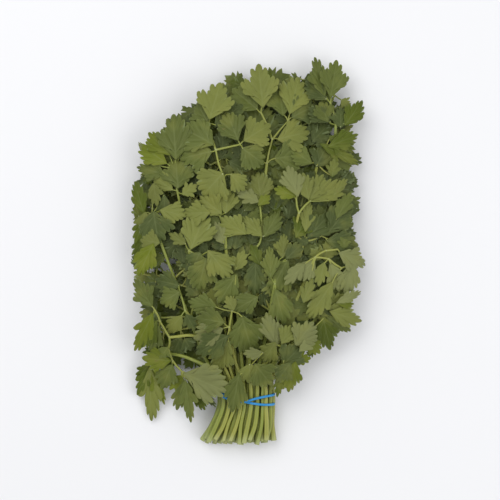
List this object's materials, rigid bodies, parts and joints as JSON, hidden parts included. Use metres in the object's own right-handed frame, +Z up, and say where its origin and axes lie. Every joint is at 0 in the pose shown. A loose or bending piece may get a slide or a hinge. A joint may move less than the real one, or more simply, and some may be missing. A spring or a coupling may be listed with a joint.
{
  "type": "parsley bunch",
  "caption": "Cut bunch of flat-leaf parsley lying flat, its stems held at the neck by a doubled rubber band.",
  "frame": {"origin": "on the surface under the middle of the bunch's bounding box", "axes": "+Y along the stems from the cut ends to the leaf tips, +X across the bunch, +Z up from the surface it lies on"},
  "size_m": [0.1758, 0.293, 0.047],
  "materials": {
    "leaf": "fresh leaf, satin, slightly see-through",
    "stem": "fresh green stem, smooth and slightly ribbed",
    "band": "plain sky-blue rubber"
  },
  "bodies": {
    "root": {"stem_01": "stem", "leaf_01": "leaf", "stem_02": "stem", "leaf_02": "leaf", "stem_03": "stem", "leaf_03": "leaf", "stem_04": "stem", "leaf_04": "leaf", "stem_05": "stem", "leaf_05": "leaf", "stem_06": "stem", "leaf_06": "leaf", "stem_07": "stem", "leaf_07": "leaf", "stem_08": "stem", "leaf_08": "leaf", "stem_09": "stem", "leaf_09": "leaf", "stem_10": "stem", "leaf_10": "leaf", "stem_11": "stem", "leaf_11": "leaf", "stem_12": "stem", "leaf_12": "leaf", "stem_13": "stem", "leaf_13": "leaf", "stem_14": "stem", "leaf_14": "leaf", "stem_15": "stem", "leaf_15": "leaf", "stem_16": "stem", "leaf_16": "leaf", "stem_17": "stem", "leaf_17": "leaf", "stem_18": "stem", "leaf_18": "leaf", "stem_19": "stem", "leaf_19": "leaf", "stem_20": "stem", "leaf_20": "leaf", "stem_21": "stem", "leaf_21": "leaf", "stem_22": "stem", "leaf_22": "leaf", "stem_23": "stem", "leaf_23": "leaf", "stem_24": "stem", "leaf_24": "leaf", "stem_25": "stem", "leaf_25": "leaf", "stem_26": "stem", "leaf_26": "leaf", "stem_27": "stem", "leaf_27": "leaf", "stem_28": "stem", "leaf_28": "leaf", "stem_29": "stem", "leaf_29": "leaf", "rubber_band": "band"}
  },
  "joints": []
}
